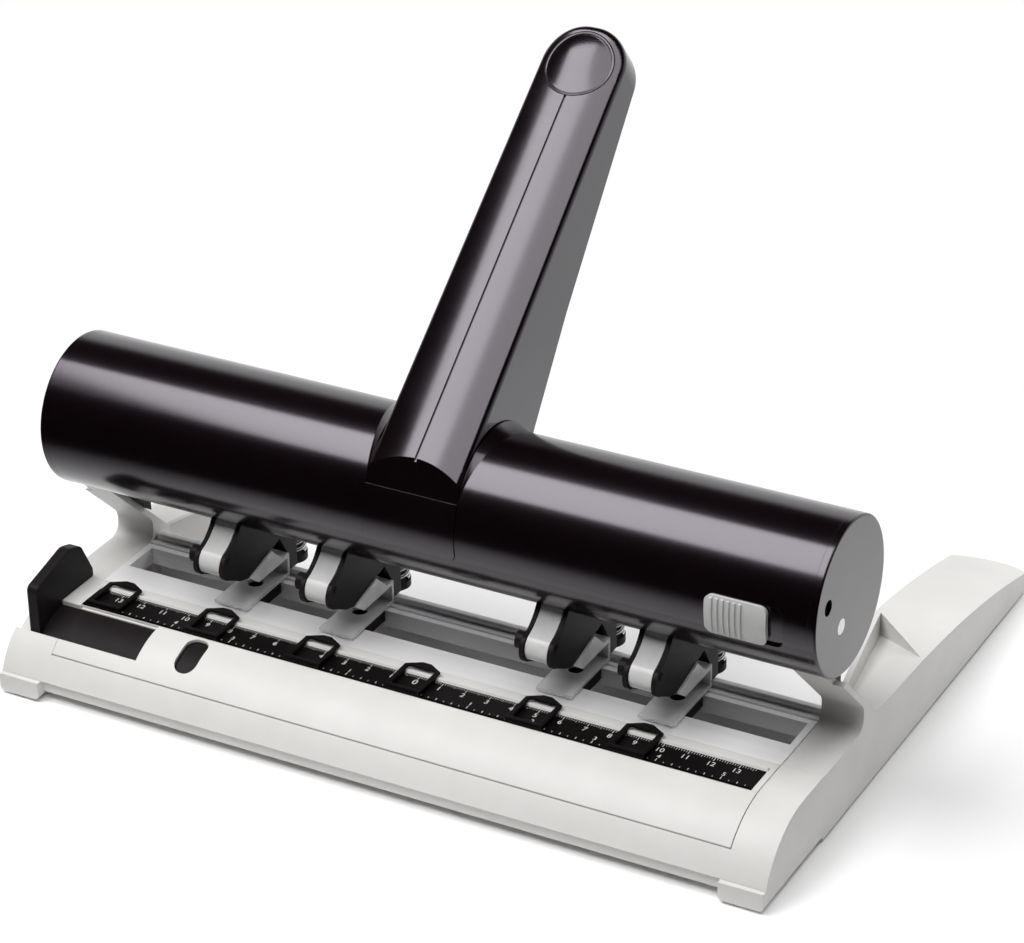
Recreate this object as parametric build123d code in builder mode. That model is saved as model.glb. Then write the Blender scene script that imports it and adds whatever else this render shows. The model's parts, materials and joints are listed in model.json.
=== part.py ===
from build123d import *
from math import acos, atan2, cos, degrees, pi, radians, sin, sqrt
import os

os.makedirs("parts", exist_ok=True)

# All sizes are in millimetres. A "back" is measured from the front edge, a height from the ground.

# Overall
half_width = 159.5
depth = 250.0
front = -depth / 2
sliding_gap = 0.3
bore_gap = 0.06
seat_gap = 0.1

# Front table: a bridge with a rounded front, hollow underneath
table_top = 28.0
table_bottom = 8.3
table_back = 49.0
table_curve = 31.5
table_wall = 6.0
table_end_wall = 2.5
curve_back = 31.3

# Ruler, let into the table, with a guide groove in front of it and a bead behind it
ruler_inset = 18.9
ruler_half = half_width - ruler_inset
ruler_front = 31.0
ruler_back = 42.8
ruler_thickness = 1.5
groove_width = 1.3
groove_depth = 2.6
bead_radius = 0.8
bead_back = 44.0

# Front panel, a curved cover that is flush with the table
panel_left_inset = 19.5
panel_right_inset = 16.5
panel_left = panel_left_inset - half_width
panel_right = half_width - panel_right_inset
panel_front = 8.2
panel_back = 29.4
panel_thickness = 1.2
panel_gap = 0.4
seam_width = 0.5
window_x = -85.0
window_back = 20.6
window_width = 9.3
window_length = 15.5
window_round = 4.2

# Paper stop, an upright on a curved bar that slides under the panel
stop_inset = 11.0
stop_face = stop_inset - half_width
stop_thickness = 5.0
stop_bar_end = -55.0
stop_bar_thickness = 1.8
stop_cut_right = -105.0
stop_bar_front = 13.1
stop_bar_back = 28.6
stop_low_top = 41.0
stop_high_top = 47.0
stop_high_back = 36.0
stop_shoulder_back = 43.0
stop_shoulder_top = 44.8
stop_toe_back = 49.5
stop_toe_top = 31.5
stop_round = 5.0
stop_corner = 3.0
stop_edge = 1.2

# Cheeks: the side frames with the paper throat, a thin lip and a long rear leg
cheek_width = 16.5
cheek_inner = half_width - cheek_width
cheek_bottom = 1.0
throat_floor = 27.4
throat_back = 83.5
throat_round = 5.2
lip_foot = 120.2
lip_thickness = 2.4
lip_top = 56.4
lip_peak = 65.0
lip_peak_gap = 1.0
rim_height = 28.8
leg_start = 138.0
leg_start_height = 26.6
leg_end_height = 9.2
leg_bulge = 2.8
leg_width = 31.5
leg_inner = half_width - leg_width
leg_round = 7.0
leg_end = depth - leg_round
leg_drop = 2.4
flare_start = 95.0
flare_end = 166.5
pocket_fall = 0.397
pocket_wall = 2.4
pocket_rim = 1.6
pocket_clear = 10.0

# Feet
foot_width = 17.4
foot_round = 2.0
pad_radius = 6.0

# Die rail: an aluminium section across the base, with the chip slot
rail_back = 89.0
rail_skin = 3.0
rail_wall = 2.5
slot_front = 62.3
slot_back = 77.9
slot_lip = 2.0
slot_lip_depth = 4.0
rail_ridge_depth = 4.0
rail_ridge_height = 2.0
rail_groove_back = 81.0
rail_groove = 1.2
slot_end_wall = 2.6
slot_half = cheek_inner - slot_end_wall
rail_ridge_round = 1.2

# Chip pan under the rail and the table
pan_front = 3.6
pan_bottom = 3.4
pan_floor = 1.8

# Tube with its lever: turns about the axle, which lies low and to the front inside it
tube_back = 67.9
tube_height = 91.1
tube_radius = 29.5
tube_wall = 2.2
opening_clear = 2.4
opening_rear = -36.0
axle_back = 60.7
axle_height = 82.8
axle_radius = 3.0
cap_thickness = 3.0
cap_spigot = 3.0
cap_hole_back = 49.0
cap_hole_height = 96.4
cap_hole_radius = 3.0
cap_hole_depth = 1.8
cap_round = 0.8
cap_spigot_margin = 8.0

# Press bar: a rib with a round nose that pushes the punches down
bar_back = 77.0
bar_nose_height = 82.2
bar_nose_radius = 4.0
bar_thickness = 6.0
bar_inset = 5.0
bar_half = cheek_inner - bar_inset

# Front plate below the lever
plate_half = 18.9
plate_thickness = 1.2
plate_top_angle = 152.0
plate_bottom_angle = 195.5
plate_round = 3.0
plate_gap = 0.25
plate_proud = 0.3

# Lever
lever_half = 18.8
lever_tip_half = 16.8
lever_tip_round = 15.6
lever_edge_round = 2.6
lever_slope = 39.3
lever_front_back = 46.0
lever_front_height = 117.3
lever_length = 181.0
lever_crown = 3.4
lever_tip_thickness = 14.5
lever_root_back = 99.7
lever_root_height = 106.0
lever_waist_back = 128.1
lever_waist_height = 143.1
dish_radius = 12.5
dish_margin = 3.2
dish_sink = 1.6
dish_hollow = 1.3
score_width = 0.9
score_depth = 0.7

# Collar: the tube swells on both sides of the lever
collar_gap = 0.3
collar_length = 10.0
collar_rise = 2.6
collar_sink = 0.2
collar_angle = 61.0

# Lock slide in its recess on the tube
lock_inset = 41.5
lock_left = half_width - lock_inset
lock_length = 23.5
lock_recess_depth = 1.1
lock_round = 3.0
lock_top_angle = 168.0
lock_bottom_angle = 198.0
lock_proud = 1.1
lock_travel = 5.4
lock_stem = 4.4
lock_ribs = 6
lock_rib_pitch = 2.2
lock_rib_start = 2.0
lock_rib_height = 0.5
lock_rib_inset = 2.0
lock_hook_depth = 1.8
lock_hook_half = 7.0

# Axle brackets on the lips
bracket_inset = 3.0
bracket_inner = cheek_inner - bracket_inset
bracket_width = 12.0
bracket_eye = 6.6
bracket_bore_gap = 0.02
bracket_seat = 12.0
bracket_heel = 3.0
bracket_rise = 11.0
bracket_neck = 2.4
bracket_start = 0.5

# Punch heads
head_places = (-87.5, -41.2, 50.8, 92.3)
head_half = 6.5
flange = 1.7
eye_radius = 6.4
pin_back = 70.0
pin_radius = 2.75
pin_tip = 36.8
die_gap = 0.1
sole_thickness = 0.8
die_depth = 4.6
column_front = 83.4
column_back = 90.0
column_top = 55.0
neck_back = 66.8
neck_height = 64.5
guide_front = 64.0
guide_back = 76.0
guide_bottom = 46.0
guide_top = 51.5
pivot_back = 43.9
pivot_height = 54.8
pivot_radius = 1.5
pivot_proud = 0.4
pivot_boss_radius = 3.4
pivot_boss_depth = 2.8
tail_back = 50.6
tail_height = 42.8
chin_back = 43.0
chin_height = 47.0
nose_back = 38.7
nose_height = 53.0
brow_back = 41.5
brow_height = 57.5
throat_bend_back = 48.8
throat_bend_height = 61.2
collar_back = 53.5
collar_height = 67.5
block_clear = 1.0
sole_web = 1.0
sole_web_height = 4.0
column_web = 2.5
column_web_height = 12.0
seat_reach = 2.0

# Clear paper guide of a head
guide_half = 7.3
tongue_front = 52.3
tongue_thickness = 1.2
paper_stop_back = 82.0
wedge_front_back = 55.8
wedge_front_height = 41.4
wedge_high_back = 71.5
wedge_high_height = 45.3
wedge_rear_back = 78.4
wedge_rear_height = 38.6
wedge_underside = 36.9
wedge_mouth_back = 61.5

# Release clip of a head
clip_half = 4.5
clip_thickness = 1.8
clip_hub = 2.9
clip_top_back = 55.6
clip_top_height = 74.0
clip_bend_back = 55.2
clip_bend_height = 68.0
clip_waist_back = 50.3
clip_waist_height = 61.4
clip_brow_back = 42.6
clip_brow_height = 57.0
clip_nose_back = 40.5
clip_nose_height = 53.0
clip_chin_back = 44.2
clip_chin_height = 48.6
clip_end_back = 48.6
clip_end_height = 45.6

# Carriage that carries the punch pin, and its return spring
carriage_half = 3.0
carriage_bottom = 60.2
carriage_top = 78.0
carriage_front = 66.2
carriage_back = 82.0
carriage_drop_front = 77.6
carriage_bevel = 9.0
arm_bottom = 52.0
arm_top = 57.0
spring_back = 96.6
spring_radius = 5.4
spring_wire = 1.2
spring_turns = 6
spring_seat = 31.5
spring_seat_radius = 6.2

# Scale markers on the ruler
marker_inset = 9.8
marker_places = (marker_inset - ruler_half, -86.9, -42.7, 0.0, 50.5, 91.3)
marker_half = 7.6
marker_front = 29.6
marker_shoulder = 41.0
marker_back = 49.4
marker_tip_half = 3.6
marker_thickness = 1.7
marker_window_half = 5.2
marker_window_front = 33.0
marker_window_back = 45.2
marker_round = 1.4


def side_at(x):
    """A plane across the width: its first axis is the distance from the front edge, its second the height."""
    return Plane(origin=(x, front, 0), x_dir=(0, 1, 0), z_dir=(1, 0, 0))


def top_at(height):
    """A level plane: its first axis is the width, its second the distance from the front edge."""
    return Plane(origin=(0, front, height))


def keep(piece, name):
    piece.part.label = name
    export_step(piece.part, f"parts/{name}.step")


def table_outline(inset, back):
    """The table's section, shrunk by inset, as far as back."""
    with Locations((curve_back, table_top - table_curve)):
        Circle(table_curve - inset)
    with Locations((curve_back, 0)):
        Rectangle(back - curve_back, table_top - inset, align=Align.MIN)
    with Locations((0, table_bottom)):
        Rectangle(back, table_top - inset - table_bottom, align=Align.MIN, mode=Mode.INTERSECT)


def curved_strip(outer, inner, start, end):
    """A strip of the table's rounded front between two insets and two distances from the front."""
    with Locations((curve_back, table_top - table_curve)):
        Circle(table_curve - outer)
        Circle(table_curve - inner, mode=Mode.SUBTRACT)
    with Locations((start, 0)):
        Rectangle(end - start, table_top, align=Align.MIN, mode=Mode.INTERSECT)


def tube_sector(outer, inner, start, end):
    """A ring sector about the tube's axis, from one angle to another, counted from the rear over the top."""
    reach = 3 * outer
    middle = (start + end) / 2
    with Locations((tube_back, tube_height)):
        Circle(outer)
        Circle(inner, mode=Mode.SUBTRACT)
    corners = [(tube_back, tube_height)]
    for angle in (start, middle, end):
        corners.append((tube_back + reach * cos(radians(angle)), tube_height + reach * sin(radians(angle))))
    Polygon(*corners, align=None, mode=Mode.INTERSECT)


# Front table
stop_floor = panel_thickness + sliding_gap
stop_channel = stop_floor + stop_bar_thickness + sliding_gap

with BuildPart() as front_table:
    with BuildSketch(side_at(-half_width)):
        table_outline(0, table_back)
    extrude(amount=2 * half_width)
    with BuildSketch(side_at(-half_width + table_end_wall)):
        table_outline(table_wall, table_back - rail_wall)
    extrude(amount=2 * (half_width - table_end_wall), mode=Mode.SUBTRACT)
    with BuildSketch(side_at(panel_left - seat_gap)):
        curved_strip(0, panel_thickness, panel_front - panel_gap, panel_back + seat_gap)
    extrude(amount=panel_right - panel_left + seat_gap + panel_gap, mode=Mode.SUBTRACT)
    with BuildSketch(top_at(table_top)):
        with Locations((panel_right + panel_gap, panel_back)):
            Rectangle(seam_width, table_back - panel_back, align=(Align.MAX, Align.MIN))
    extrude(amount=-seam_width, mode=Mode.SUBTRACT)
    with BuildSketch(side_at(-half_width)):
        curved_strip(0, stop_channel, stop_bar_front - sliding_gap, stop_bar_back + sliding_gap)
    extrude(amount=stop_cut_right + half_width, mode=Mode.SUBTRACT)
    with BuildSketch(side_at(-half_width)):
        curved_strip(panel_thickness, stop_channel, stop_bar_front - sliding_gap, stop_bar_back + sliding_gap)
    extrude(amount=stop_bar_end + half_width + sliding_gap, mode=Mode.SUBTRACT)
    with BuildSketch(top_at(table_top)):
        with Locations((0, ruler_front)):
            Rectangle(2 * ruler_half, ruler_back - ruler_front, align=(Align.CENTER, Align.MIN))
    extrude(amount=-ruler_thickness, mode=Mode.SUBTRACT)
    with BuildSketch(top_at(table_top)):
        with Locations((0, ruler_front)):
            Rectangle(2 * ruler_half, groove_width, align=(Align.CENTER, Align.MAX))
    extrude(amount=-groove_depth, mode=Mode.SUBTRACT)
    with BuildSketch(side_at(-ruler_half)):
        with Locations((bead_back, table_top)):
            Circle(bead_radius)
    extrude(amount=2 * ruler_half)
keep(front_table, "front_table")

# Front panel
with BuildPart() as front_panel:
    with BuildSketch(side_at(panel_left)):
        curved_strip(0, panel_thickness, panel_front, panel_back)
    extrude(amount=panel_right - panel_left)
    with BuildSketch(side_at(panel_left)):
        curved_strip(0, panel_thickness, stop_bar_front - sliding_gap, panel_back)
    extrude(amount=stop_cut_right - panel_left, mode=Mode.SUBTRACT)
    with BuildSketch(top_at(table_top)):
        with Locations((window_x, window_back)):
            RectangleRounded(window_width, window_length, window_round)
    extrude(amount=-table_top, mode=Mode.SUBTRACT)
keep(front_panel, "front_panel")

# Ruler
with BuildPart() as ruler:
    with BuildSketch(top_at(table_top - ruler_thickness)):
        with Locations((0, ruler_front)):
            Rectangle(2 * ruler_half, ruler_back - ruler_front, align=(Align.CENTER, Align.MIN))
    extrude(amount=ruler_thickness)
keep(ruler, "ruler")

# Paper stop
with BuildPart() as paper_stop:
    with BuildSketch(side_at(stop_face - stop_thickness)):
        curved_strip(stop_floor, stop_floor + stop_bar_thickness, stop_bar_front, stop_bar_back)
    extrude(amount=stop_bar_end - stop_face + stop_thickness)
    with BuildSketch(side_at(stop_face - stop_thickness)):
        with BuildLine():
            Polyline(
                (stop_bar_front, table_bottom),
                (stop_bar_front, stop_low_top),
                (stop_high_back, stop_high_top),
                (stop_shoulder_back, stop_shoulder_top),
                (stop_toe_back, stop_toe_top),
                (stop_toe_back, table_top + sliding_gap),
                (stop_bar_back, table_top + sliding_gap),
                (stop_bar_back, table_bottom),
                close=True,
            )
        make_face()
        with Locations((curve_back, table_top - table_curve)):
            Circle(table_curve - stop_floor - stop_bar_thickness, mode=Mode.SUBTRACT)
    extrude(amount=stop_thickness)
    uprights = paper_stop.edges().filter_by(Axis.X).group_by(Axis.Z)
    fillet(uprights[-1] + uprights[-2], radius=stop_round)
    fillet(uprights[-3], radius=stop_corner)
    rim_start = stop_toe_top - stop_corner
    outer_rim = paper_stop.faces().sort_by(Axis.X)[0].edges()
    fillet(outer_rim.filter_by(lambda edge: edge.bounding_box().min.Z > rim_start), radius=stop_edge)
keep(paper_stop, "paper_stop")

# Cheeks
tube_axis = (tube_back, tube_height)
lip_rear = lip_foot + lip_thickness * sqrt(2)
lip_end_back = lip_rear - lip_top
rim_front = lip_rear - rim_height
rim_fall = (rim_height - leg_start_height) / (leg_start - rim_front)
leg_middle = (half_width + leg_inner) / 2
leg_half_back = (leg_start + leg_end) / 2
leg_half_height = (leg_start_height + leg_end_height) / 2 + leg_bulge
rim_plane = Plane(origin=(0, front + rim_front, rim_height), x_dir=(1, 0, 0), z_dir=(0, -1, rim_fall))

with BuildPart() as pocket:
    with BuildSketch(top_at(cheek_bottom)):
        with BuildLine():
            Polyline(
                (half_width, lip_end_back),
                (half_width, leg_start),
                (leg_inner + pocket_wall, flare_end),
                (cheek_inner + pocket_wall, flare_start),
                (cheek_inner + pocket_wall, lip_end_back),
                close=True,
            )
        make_face()
    extrude(amount=lip_top)
    with BuildSketch(side_at(leg_inner)):
        with BuildLine():
            Polyline(
                (lip_rear - cheek_bottom, cheek_bottom),
                (flare_end + pocket_clear, cheek_bottom),
                (flare_end + pocket_clear, lip_top + pocket_clear),
                (lip_rear - lip_top - pocket_clear, lip_top + pocket_clear),
                close=True,
            )
        make_face()
    extrude(amount=leg_width, mode=Mode.INTERSECT)
    with BuildSketch(rim_plane):
        with BuildLine():
            Polyline(
                (half_width - pocket_rim, 0),
                (leg_inner, -pocket_fall * (leg_width - pocket_rim)),
                (leg_inner, lip_top),
                (half_width, lip_top),
                (half_width, 0),
                close=True,
            )
        make_face()
    extrude(amount=depth, both=True, mode=Mode.INTERSECT)

with BuildPart() as right_cheek:
    with BuildSketch(top_at(cheek_bottom)):
        with BuildLine():
            Polyline(
                (leg_inner, leg_end),
                (leg_inner, flare_end),
                (cheek_inner, flare_start),
                (cheek_inner, table_back),
                (half_width, table_back),
                (half_width, leg_end),
            )
            ThreePointArc((half_width, leg_end), (leg_middle, depth), (leg_inner, leg_end))
        make_face()
    extrude(amount=lip_top - cheek_bottom)
    with BuildSketch(side_at(leg_inner)):
        with BuildLine():
            Polyline(
                (leg_end, leg_end_height),
                (depth, leg_end_height - leg_drop),
                (depth, 0),
                (table_back, 0),
                (table_back, throat_floor),
                (throat_back, throat_floor),
                (throat_back, lip_foot - throat_back),
                (lip_foot - lip_top, lip_top),
                (lip_end_back, lip_top),
                (rim_front, rim_height),
                (leg_start, leg_start_height),
            )
            ThreePointArc(
                (leg_start, leg_start_height),
                (leg_half_back, leg_half_height),
                (leg_end, leg_end_height),
            )
        make_face()
    extrude(amount=leg_width, mode=Mode.INTERSECT)
    throat_edges = right_cheek.edges().filter_by(Axis.X).filter_by_position(
        Axis.Y, front + throat_back - sliding_gap, front + throat_back + sliding_gap
    )
    fillet(throat_edges, radius=throat_round)
    add(pocket.part, mode=Mode.SUBTRACT)
    with BuildSketch(side_at(cheek_inner)):
        with BuildLine():
            Polyline(
                (lip_foot - lip_top, lip_top),
                (lip_foot - lip_peak, lip_peak),
                (lip_rear - lip_peak, lip_peak),
                (lip_rear - lip_top, lip_top),
                close=True,
            )
        make_face()
    extrude(amount=cheek_width - cap_thickness - lip_peak_gap)
keep(right_cheek, "right_cheek")

with BuildPart() as left_cheek:
    mirror(right_cheek.part, about=Plane.YZ)
keep(left_cheek, "left_cheek")

# Feet at the front corners, and soft pads under feet and legs
foot_x = half_width - foot_width / 2
with BuildPart() as front_feet:
    with BuildSketch(top_at(cheek_bottom)):
        with Locations((-foot_x, 0), (foot_x, 0)):
            Rectangle(foot_width, table_back, align=(Align.CENTER, Align.MIN))
    extrude(amount=table_bottom - cheek_bottom)
    fillet(front_feet.edges().filter_by(Axis.Y).group_by(Axis.Z)[0], radius=foot_round)
keep(front_feet, "front_feet")

with BuildPart() as rubber_pads:
    with BuildSketch(top_at(0)):
        with Locations((-foot_x, foot_width / 2), (foot_x, foot_width / 2)):
            Circle(pad_radius)
        with Locations((-leg_middle, leg_end - 2 * pad_radius), (leg_middle, leg_end - 2 * pad_radius)):
            Circle(pad_radius)
    extrude(amount=cheek_bottom)
keep(rubber_pads, "rubber_pads")

# Die rail
with BuildPart() as die_rail:
    with BuildSketch(side_at(-cheek_inner)):
        with Locations((table_back, table_bottom)):
            Rectangle(rail_back - table_back, table_top - table_bottom, align=Align.MIN)
        with Locations((table_back + rail_wall, table_bottom)):
            Rectangle(
                rail_back - table_back - 2 * rail_wall,
                table_top - table_bottom - rail_skin,
                align=Align.MIN,
                mode=Mode.SUBTRACT,
            )
        with Locations((slot_front - slot_lip, table_top - rail_skin - slot_lip_depth)):
            Rectangle(slot_back - slot_front + 2 * slot_lip, slot_lip_depth, align=Align.MIN)
        with Locations((rail_back - rail_ridge_depth, table_top)):
            Rectangle(rail_ridge_depth, rail_ridge_height, align=Align.MIN)
        with Locations((rail_groove_back, table_top)):
            Rectangle(rail_groove, 2 * rail_groove, mode=Mode.SUBTRACT)
    extrude(amount=2 * cheek_inner)
    fillet(die_rail.edges().filter_by(Axis.X).group_by(Axis.Z)[-1], radius=rail_ridge_round)
    with BuildSketch(top_at(table_top)):
        with Locations((0, slot_front)):
            Rectangle(2 * slot_half, slot_back - slot_front, align=(Align.CENTER, Align.MIN))
    extrude(amount=-rail_skin - slot_lip_depth, mode=Mode.SUBTRACT)
keep(die_rail, "die_rail")

# Chip pan
with BuildPart() as chip_pan:
    with BuildSketch(side_at(-half_width + foot_width)):
        with Locations((pan_front, pan_bottom)):
            Rectangle(rail_back - pan_front, table_bottom - pan_bottom, align=Align.MIN)
    extrude(amount=2 * (half_width - foot_width))
    with BuildSketch(side_at(-half_width + foot_width + pan_floor)):
        with Locations((pan_front + pan_floor, pan_bottom + pan_floor)):
            Rectangle(rail_back - pan_front - 2 * pan_floor, table_bottom, align=Align.MIN)
    extrude(amount=2 * (half_width - foot_width - pan_floor), mode=Mode.SUBTRACT)
keep(chip_pan, "chip_pan")

# Axle and the two brackets that hold it
with BuildPart() as axle:
    with BuildSketch(side_at(-half_width)):
        with Locations((axle_back, axle_height)):
            Circle(axle_radius)
    extrude(amount=2 * half_width)
keep(axle, "axle")

lip_plane = lip_rear + seat_gap / 2
with BuildPart() as right_bracket:
    with BuildSketch(side_at(bracket_inner)):
        with BuildLine():
            Polyline(
                (lip_end_back + bracket_start, lip_plane - lip_end_back - bracket_start),
                (lip_end_back + bracket_seat, lip_plane - lip_end_back - bracket_seat),
                (lip_end_back + bracket_seat, lip_top - bracket_heel),
                (axle_back + bracket_eye, lip_top + bracket_rise),
                (axle_back + bracket_eye, axle_height),
                (axle_back - bracket_eye, axle_height),
                (axle_back - bracket_eye + bracket_neck, lip_top + bracket_rise),
                close=True,
            )
        make_face()
        with Locations((axle_back, axle_height)):
            Circle(bracket_eye)
            Circle(axle_radius + bracket_bore_gap, mode=Mode.SUBTRACT)
    extrude(amount=bracket_width)
keep(right_bracket, "right_bracket")

with BuildPart() as left_bracket:
    mirror(right_bracket.part, about=Plane.YZ)
keep(left_bracket, "left_bracket")

# Tube: its wall ends in front of the heads, where it clears both their collars and the clips
tube_half = half_width - cap_thickness
tube_inside = tube_radius - tube_wall
collar_side = acos((tube_back - collar_back + opening_clear) / tube_inside)
clip_side = atan2(tube_height - clip_bend_height, tube_back - clip_bend_back + 2 * opening_clear)
opening_front = 180 + degrees(min(collar_side, clip_side))
tube_middle = tube_radius - tube_wall / 2
plate_inside = tube_radius - plate_thickness
lock_recess = tube_radius - lock_recess_depth
lock_middle = (lock_top_angle + lock_bottom_angle) / 2
lock_slot_angle = degrees(lock_stem / 2 / tube_radius)
lock_gap_angle = degrees(sliding_gap / tube_radius)
collar_start = lever_half + collar_gap
collar_end = collar_start + collar_length
collar_plane = Plane(
    origin=(
        0,
        front + tube_back + collar_rise * cos(radians(collar_angle)),
        tube_height + collar_rise * sin(radians(collar_angle)),
    ),
    x_dir=(1, 0, 0),
    z_dir=(0, -1, 0),
)


def plate_form(grow, outside):
    """The front plate with its rounded lower corners, larger all round by grow, out to a radius."""
    bottom = plate_bottom_angle + degrees(grow / tube_radius)
    with BuildPart() as form:
        with BuildSketch(side_at(-plate_half - grow)):
            tube_sector(outside, plate_inside, plate_top_angle, bottom)
        extrude(amount=2 * (plate_half + grow))
        corners = form.edges().filter_by(GeomType.LINE).filter_by(Axis.X, reverse=True).sort_by(Axis.Z)
        fillet(corners[:2], radius=plate_round + grow)
    return form.part


def lock_form(length, outside, inside, grow):
    """A block with rounded corners in the lock's place on the tube, larger all round by grow."""
    spare = degrees(grow / tube_radius)
    with BuildPart() as form:
        with BuildSketch(side_at(lock_left - grow)):
            tube_sector(outside, inside, lock_top_angle - spare, lock_bottom_angle + spare)
        extrude(amount=length + 2 * grow)
        corners = form.edges().filter_by(GeomType.LINE).filter_by(Axis.X, reverse=True)
        fillet(corners, radius=lock_round + grow)
    return form.part


with BuildPart() as lever_collar:
    with BuildSketch(collar_plane):
        with BuildLine():
            Polyline(
                (collar_start, tube_radius),
                (collar_start, tube_inside - collar_rise),
                (collar_end, tube_inside - collar_rise),
                (collar_end, tube_radius - collar_rise - collar_sink),
            )
            TangentArc(
                (collar_end, tube_radius - collar_rise - collar_sink),
                (collar_start, tube_radius),
                tangent=(-1, 0),
            )
        make_face()
    revolve(axis=Axis(collar_plane.origin, (1, 0, 0)))
    with BuildSketch(side_at(0)):
        tube_sector(tube_radius + 2 * collar_rise, tube_middle, opening_rear, opening_front)
    extrude(amount=2 * collar_end, mode=Mode.INTERSECT)
    mirror(about=Plane.YZ)

with BuildPart() as tube:
    with BuildSketch(side_at(-tube_half)):
        tube_sector(tube_radius, tube_inside, opening_rear, opening_front)
    extrude(amount=2 * tube_half)
    add(lever_collar.part)
    add(plate_form(plate_gap, tube_radius + 2 * collar_rise), mode=Mode.SUBTRACT)
    lock_room = lock_form(lock_length + lock_travel, tube_radius + lock_proud, lock_recess, sliding_gap)
    add(lock_room, mode=Mode.SUBTRACT)
    with BuildSketch(side_at(lock_left + lock_length / 2 - lock_stem)):
        tube_sector(
            tube_radius,
            tube_inside,
            lock_middle - lock_slot_angle - lock_gap_angle,
            lock_middle + lock_slot_angle + lock_gap_angle,
        )
    extrude(amount=2 * lock_stem + lock_travel + sliding_gap, mode=Mode.SUBTRACT)
keep(tube, "tube")

# Front plate
with BuildPart() as front_plate:
    add(plate_form(0, tube_radius + plate_proud))
keep(front_plate, "front_plate")

# End caps
with BuildPart() as right_cap:
    with BuildSketch(side_at(tube_half)):
        with Locations(tube_axis):
            Circle(tube_radius)
        with Locations((axle_back, axle_height)):
            Circle(axle_radius + bore_gap, mode=Mode.SUBTRACT)
    extrude(amount=cap_thickness)
    with BuildSketch(side_at(tube_half - cap_spigot)):
        tube_sector(
            tube_inside,
            tube_inside - tube_wall,
            opening_rear + cap_spigot_margin,
            opening_front - cap_spigot_margin,
        )
    extrude(amount=cap_spigot)
    with BuildSketch(side_at(half_width)):
        with Locations((cap_hole_back, cap_hole_height)):
            Circle(cap_hole_radius)
    extrude(amount=-cap_hole_depth, mode=Mode.SUBTRACT)
    rim = right_cap.faces().sort_by(Axis.X)[-1].outer_wire().edges()
    fillet(rim, radius=cap_round)
keep(right_cap, "right_cap")

with BuildPart() as left_cap:
    mirror(right_cap.part, about=Plane.YZ)
keep(left_cap, "left_cap")

# Press bar
with BuildPart() as press_bar:
    with BuildSketch(side_at(-bar_half)):
        with Locations((bar_back, bar_nose_height)):
            Circle(bar_nose_radius)
            Rectangle(bar_thickness, tube_radius + tube_height, align=(Align.CENTER, Align.MIN))
        with Locations(tube_axis):
            Circle(tube_inside, mode=Mode.INTERSECT)
    extrude(amount=2 * bar_half)
keep(press_bar, "press_bar")

# Lever: a tapering arm with a crowned top, cut to sit on the tube
slope = radians(lever_slope)
lever_plane = Plane(
    origin=(0, front + lever_front_back, lever_front_height),
    x_dir=(1, 0, 0),
    z_dir=(0, -sin(slope), cos(slope)),
)
tip_back = lever_front_back + lever_length * cos(slope)
tip_height = lever_front_height + lever_length * sin(slope)
under_back = tip_back + lever_tip_thickness * sin(slope)
under_height = tip_height - lever_tip_thickness * cos(slope)
crown_radius = (lever_half**2 + lever_crown**2) / (2 * lever_crown)
dish_along = lever_length - dish_radius - dish_margin
dish_inner = dish_radius - score_width
hollow_radius = (dish_inner**2 + dish_hollow**2) / (2 * dish_hollow)
crown_plane = Plane(origin=lever_plane.origin, x_dir=(1, 0, 0), z_dir=-lever_plane.y_dir)

with BuildPart() as thumb_mark:
    with BuildSketch(lever_plane):
        with Locations((0, dish_along)):
            Circle(dish_radius)
            Circle(dish_inner, mode=Mode.SUBTRACT)
        with Locations((0, dish_along - dish_radius + score_width / 2)):
            Rectangle(score_width, lever_length, align=(Align.CENTER, Align.MAX))
    extrude(amount=lever_crown, both=True)
    with BuildSketch(crown_plane):
        with Locations((0, -crown_radius)):
            Circle(crown_radius - score_depth)
    extrude(amount=2 * lever_length, both=True, mode=Mode.SUBTRACT)

with BuildPart() as thumb_hollow:
    with BuildSketch(lever_plane):
        with Locations((0, dish_along)):
            Circle(dish_inner)
    extrude(amount=lever_crown, both=True)
    with Locations(lever_plane * Pos(0, dish_along, hollow_radius - dish_sink - dish_hollow)):
        Sphere(hollow_radius, mode=Mode.INTERSECT)

with BuildPart() as lever:
    with BuildSketch(side_at(-2 * lever_half)):
        with BuildLine():
            Polyline(
                (lever_front_back, lever_front_height),
                (tip_back, tip_height),
                (under_back, under_height),
                (lever_waist_back, lever_waist_height),
                (lever_root_back, lever_root_height),
                tube_axis,
                (
                    tube_back + tube_radius * cos(radians(plate_top_angle)),
                    tube_height + tube_radius * sin(radians(plate_top_angle)),
                ),
                close=True,
            )
        make_face()
    extrude(amount=4 * lever_half)
    with BuildSketch(lever_plane) as plan:
        with BuildLine():
            Polyline(
                (-lever_half, -tube_radius),
                (lever_half, -tube_radius),
                (lever_half, 0),
                (lever_tip_half, lever_length),
                (-lever_tip_half, lever_length),
                (-lever_half, 0),
                close=True,
            )
        make_face()
        fillet(plan.vertices().group_by(Axis.Y)[-1], radius=lever_tip_round)
    extrude(amount=lever_length, both=True, mode=Mode.INTERSECT)
    with BuildSketch(crown_plane):
        with Locations((0, -crown_radius)):
            Circle(crown_radius)
    extrude(amount=2 * lever_length, both=True, mode=Mode.INTERSECT)
    crown = lever.faces().filter_by(GeomType.CYLINDER).sort_by(SortBy.AREA)[-1]
    rounded = [edge for edge in crown.edges() if edge.center().Z > lever_front_height]
    fillet(rounded, radius=lever_edge_round)
    with BuildSketch(side_at(-2 * lever_half)):
        with Locations(tube_axis):
            Circle(tube_radius)
    extrude(amount=4 * lever_half, mode=Mode.SUBTRACT)
    add(thumb_mark.part, mode=Mode.SUBTRACT)
    add(thumb_hollow.part, mode=Mode.SUBTRACT)
keep(lever, "lever")

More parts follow.
